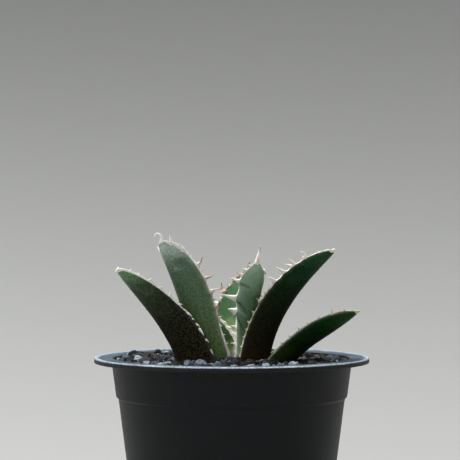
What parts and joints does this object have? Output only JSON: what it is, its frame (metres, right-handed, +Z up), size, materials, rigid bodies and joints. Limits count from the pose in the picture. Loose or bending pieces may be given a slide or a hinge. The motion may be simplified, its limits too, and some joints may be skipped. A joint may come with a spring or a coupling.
{
  "type": "potted agave",
  "caption": "Young agave rosette with toothed, spine-tipped succulent leaves, growing in a stony mix in a round plastic nursery pot with a wide flat lip.",
  "frame": {"origin": "centre of the pot's foot, on the surface it stands on", "axes": "+Z up along the pot's axis, -Y towards the plant's best side, +X to the right seen from there"},
  "size_m": [0.12, 0.12, 0.1524],
  "materials": {
    "pot": "matte black moulded plastic, a little dusty on the lip",
    "pumice": "coarse pumice",
    "mix": "rough gritty potting mix",
    "stem": "fibrous",
    "leaf": "matte waxy leaf, finely speckled, cream horny margins",
    "leaf_heart": "matte waxy young leaf, cream horny margins",
    "stone_grey": "rough",
    "stone_brown": "rough",
    "stone_pale": "rough",
    "stone_dark": "rough"
  },
  "bodies": {
    "root": {"pot": "pot", "drainage_layer": "pumice", "potting_mix": "mix", "stem_and_roots": "stem", "leaf_low_left": "leaf", "leaf_low_right": "leaf", "leaf_arching_right": "leaf", "leaf_tall_left": "leaf", "leaf_heart": "leaf_heart", "leaf_inner_left": "leaf_heart", "leaf_back": "leaf_heart", "leaf_bud": "leaf_heart", "leaf_back_right": "leaf", "leaf_inner_right": "leaf_heart", "leaf_back_left": "leaf", "leaf_rear_low_left": "leaf", "leaf_rear_low_right": "leaf", "stone_01": "stone_brown", "stone_02": "stone_pale", "stone_03": "stone_dark", "stone_04": "stone_grey", "stone_05": "stone_brown", "stone_06": "stone_pale", "stone_07": "stone_dark", "stone_08": "stone_grey", "stone_09": "stone_brown", "stone_10": "stone_pale", "stone_11": "stone_dark", "stone_12": "stone_grey", "stone_13": "stone_brown", "stone_14": "stone_pale", "stone_15": "stone_dark", "stone_16": "stone_grey", "stone_17": "stone_brown", "stone_18": "stone_pale", "stone_19": "stone_dark", "stone_20": "stone_grey", "stone_21": "stone_brown", "stone_22": "stone_pale"}
  },
  "joints": []
}
